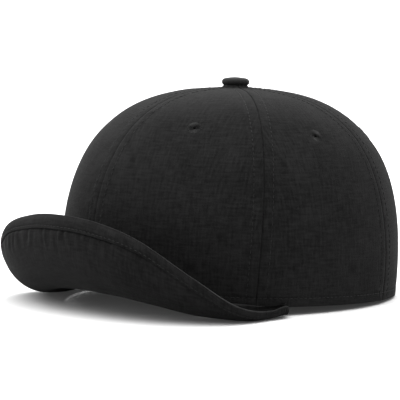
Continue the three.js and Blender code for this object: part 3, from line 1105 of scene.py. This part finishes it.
# The edge band: a strip folded over the edge of the brim, stitched along its inner edge
def band_profile(section):
    squeeze = section_squeeze(section)
    seam = section.width - section.band
    hook = section.width - section.hook
    flat_end = section.width - EDGE_NOSE
    middle = UPPER_FACE / 2
    roll = 0.4 * MM * squeeze
    narrowing = EDGE_NARROWING * squeeze
    points = [(seam, UNDER_BACK), (seam, UNDER_BACK * 0.6), (seam, roll)]
    points += [(seam + roll * 0.3, roll * 0.3), (seam + roll, 0)]
    for share in shares(20)[1:-1]:
        distance = lerp(seam + roll, flat_end, share)
        from_stitches = distance - (seam + BAND_TO_STITCHES * squeeze)
        dip = STITCH_DIP * squeeze * bell(from_stitches, 0.65 * MM)
        crown = -0.28 * MM * squeeze * math.sin(share * math.pi)
        wrinkle = 0.1 * MM * noise.noise(Vector((section.along / (3.5 * MM), distance / (9 * MM), 31)))
        narrow = (middle - EDGE_NOSE) * max(1 - (flat_end - distance) / narrowing, 0) ** 2
        points.append((distance, dip + crown + narrow + (wrinkle + 0.5 * end_creases(section)) * squeeze))
    for share in shares(12):
        turn = math.radians(lerp(-90, 90, share))
        points.append((flat_end + EDGE_NOSE * math.cos(turn), middle + EDGE_NOSE * math.sin(turn)))
    for share in (0.25, 0.5, 0.75):
        points.append((lerp(flat_end, hook, share), lerp(UPPER_FACE, middle + EDGE_NOSE, (1 - share) ** 2)))
    points += [(hook + 0.3 * MM * squeeze, UPPER_FACE), (hook, UPPER_FACE - 0.25 * MM * squeeze)]
    points += [(hook, UNDER_BACK + 0.3 * MM), (hook, UNDER_BACK)]
    return points


def make_edge_band():
    profiles = [band_profile(section) for section in brim_sections]
    columns = len(profiles[0])

    def point_at(column, row):
        return brim_sections[row].at(*profiles[row][column])

    def cloth_at(column, row):
        passed = profiles[row][: min(column, columns - 1) + 1]
        distance = sum(math.dist(start, end) for start, end in zip(passed, passed[1:]))
        return distance, brim_sections[row].along

    # Painted highlight, partly wear: lighter on the lit top of the fold, fainter at the brim's ends
    def wear_and_highlight_at(column, row):
        distance, lift = profiles[row][column]
        past_flat = distance - (brim_sections[row].width - EDGE_NOSE)
        towards_end = ease(abs(brim_sections[row].place), 0.6, 0.82)
        on_edge = ease(past_flat, -0.3 * EDGE_NOSE, 0.8 * EDGE_NOSE) * ease(lift, 0.9 * MM, 1.5 * MM)
        return on_edge * lerp(1, END_WEAR_AND_HIGHLIGHT, towards_end)

    bm = cloth_tube(columns, len(brim_sections), point_at, cloth_at, wear_and_highlight_at)
    piece = finish_piece("brim_edge_band_twill", bm, edge_twill)
    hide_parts("brim_edge_band")


make_edge_band()


# The row of stitches of the edge band, on one of its faces
def band_stitch_path(face, outward_step):
    def path(share):
        section = brim_section(lerp(-0.94, 0.94, share))
        distance = section.width - section.band + BAND_TO_STITCHES * section_squeeze(section)
        lift = face(section, distance)
        point = section.at(distance, lift)
        outward = section.at(distance, lift + outward_step) - point
        return SETTLE @ point, SETTLE.to_3x3() @ outward.normalized()

    return path


stitches_piece(
    "edge_band_stitching",
    [
        band_stitch_path(lambda section, distance: 0.02 * MM, -0.5 * MM),
        band_stitch_path(lambda section, distance: upper_face(section, distance) - 0.02 * MM, 0.5 * MM),
    ],
    90,
    thread,
)


# Table and studio light
def make_table():
    bm = bmesh.new()
    bmesh.ops.create_grid(bm, x_segments=2, y_segments=2, size=30)
    mesh = bpy.data.meshes.new("table")
    bm.to_mesh(mesh)
    bm.free()
    table = bpy.data.objects.new("table", mesh)
    bpy.context.scene.collection.objects.link(table)
    material = bpy.data.materials.new("pale_table")
    material.use_nodes = True
    shader = material.node_tree.nodes["Principled BSDF"]
    shader.inputs["Base Color"].default_value = (*[TABLE_SHADE] * 3, 1)
    shader.inputs["Roughness"].default_value = 0.9
    shader.inputs["Specular IOR Level"].default_value = 0.1
    shader.inputs["Emission Color"].default_value = (1, 1, 1, 1)
    shader.inputs["Emission Strength"].default_value = TABLE_GLOW
    mesh.materials.append(material)


make_table()


def softbox(name, place):
    data = bpy.data.lights.new(name, "AREA")
    data.shape = "DISK"
    data.size = SOFTBOX_SIZE
    data.energy = SOFTBOX_POWER
    light = bpy.data.objects.new(name, data)
    light.location = place
    light.rotation_mode = "QUATERNION"
    light.rotation_quaternion = (Vector((0, 0, 0.06)) - light.location).to_track_quat("-Z", "Y")
    bpy.context.scene.collection.objects.link(light)


softbox("softbox_left", Vector((-1.4, -0.4, 0.75)))
softbox("softbox_back", Vector((-1.0, 1.0, 1.2)))


# Soft light from all round, stronger from above and a little weaker from the right
def make_sky():
    sky = bpy.data.worlds.new("studio")
    sky.use_nodes = True
    tree = sky.node_tree
    direction = add_node(tree, "ShaderNodeTexCoord").outputs["Generated"]
    split = add_node(tree, "ShaderNodeSeparateXYZ", {"Vector": direction})
    ceiling = add_math(tree, "POWER", add_math(tree, "MAXIMUM", split.outputs["Z"], 0.0), 3.0)
    sideways = add_math(tree, "ADD", split.outputs["X"], split.outputs["Y"])
    slant = add_ramp(tree, sideways, -1.4, 1.4, 1 + ROOM_SLANT, 1 - ROOM_SLANT)
    room = add_math(tree, "MULTIPLY", slant, ROOM_LIGHT)
    strength = add_math(tree, "ADD", add_math(tree, "MULTIPLY", ceiling, CEILING_LIGHT), room)
    tree.links.new(strength, tree.nodes["Background"].inputs["Strength"])
    tree.nodes["Background"].inputs["Color"].default_value = (1, 1, 1, 1)
    bpy.context.scene.world = sky


make_sky()
bpy.context.scene.view_settings.view_transform = "Standard"

camera_data = bpy.data.cameras.new("camera")
camera_data.sensor_width = CAMERA_SENSOR
camera_data.lens = CAMERA_LENS
camera_data.clip_end = 100
camera = bpy.data.objects.new("camera", camera_data)
camera.location = CAMERA_PLACE
camera.rotation_mode = "QUATERNION"
camera.rotation_quaternion = (CAMERA_TARGET - CAMERA_PLACE).to_track_quat("-Z", "Y")
bpy.context.scene.collection.objects.link(camera)
bpy.context.scene.camera = camera
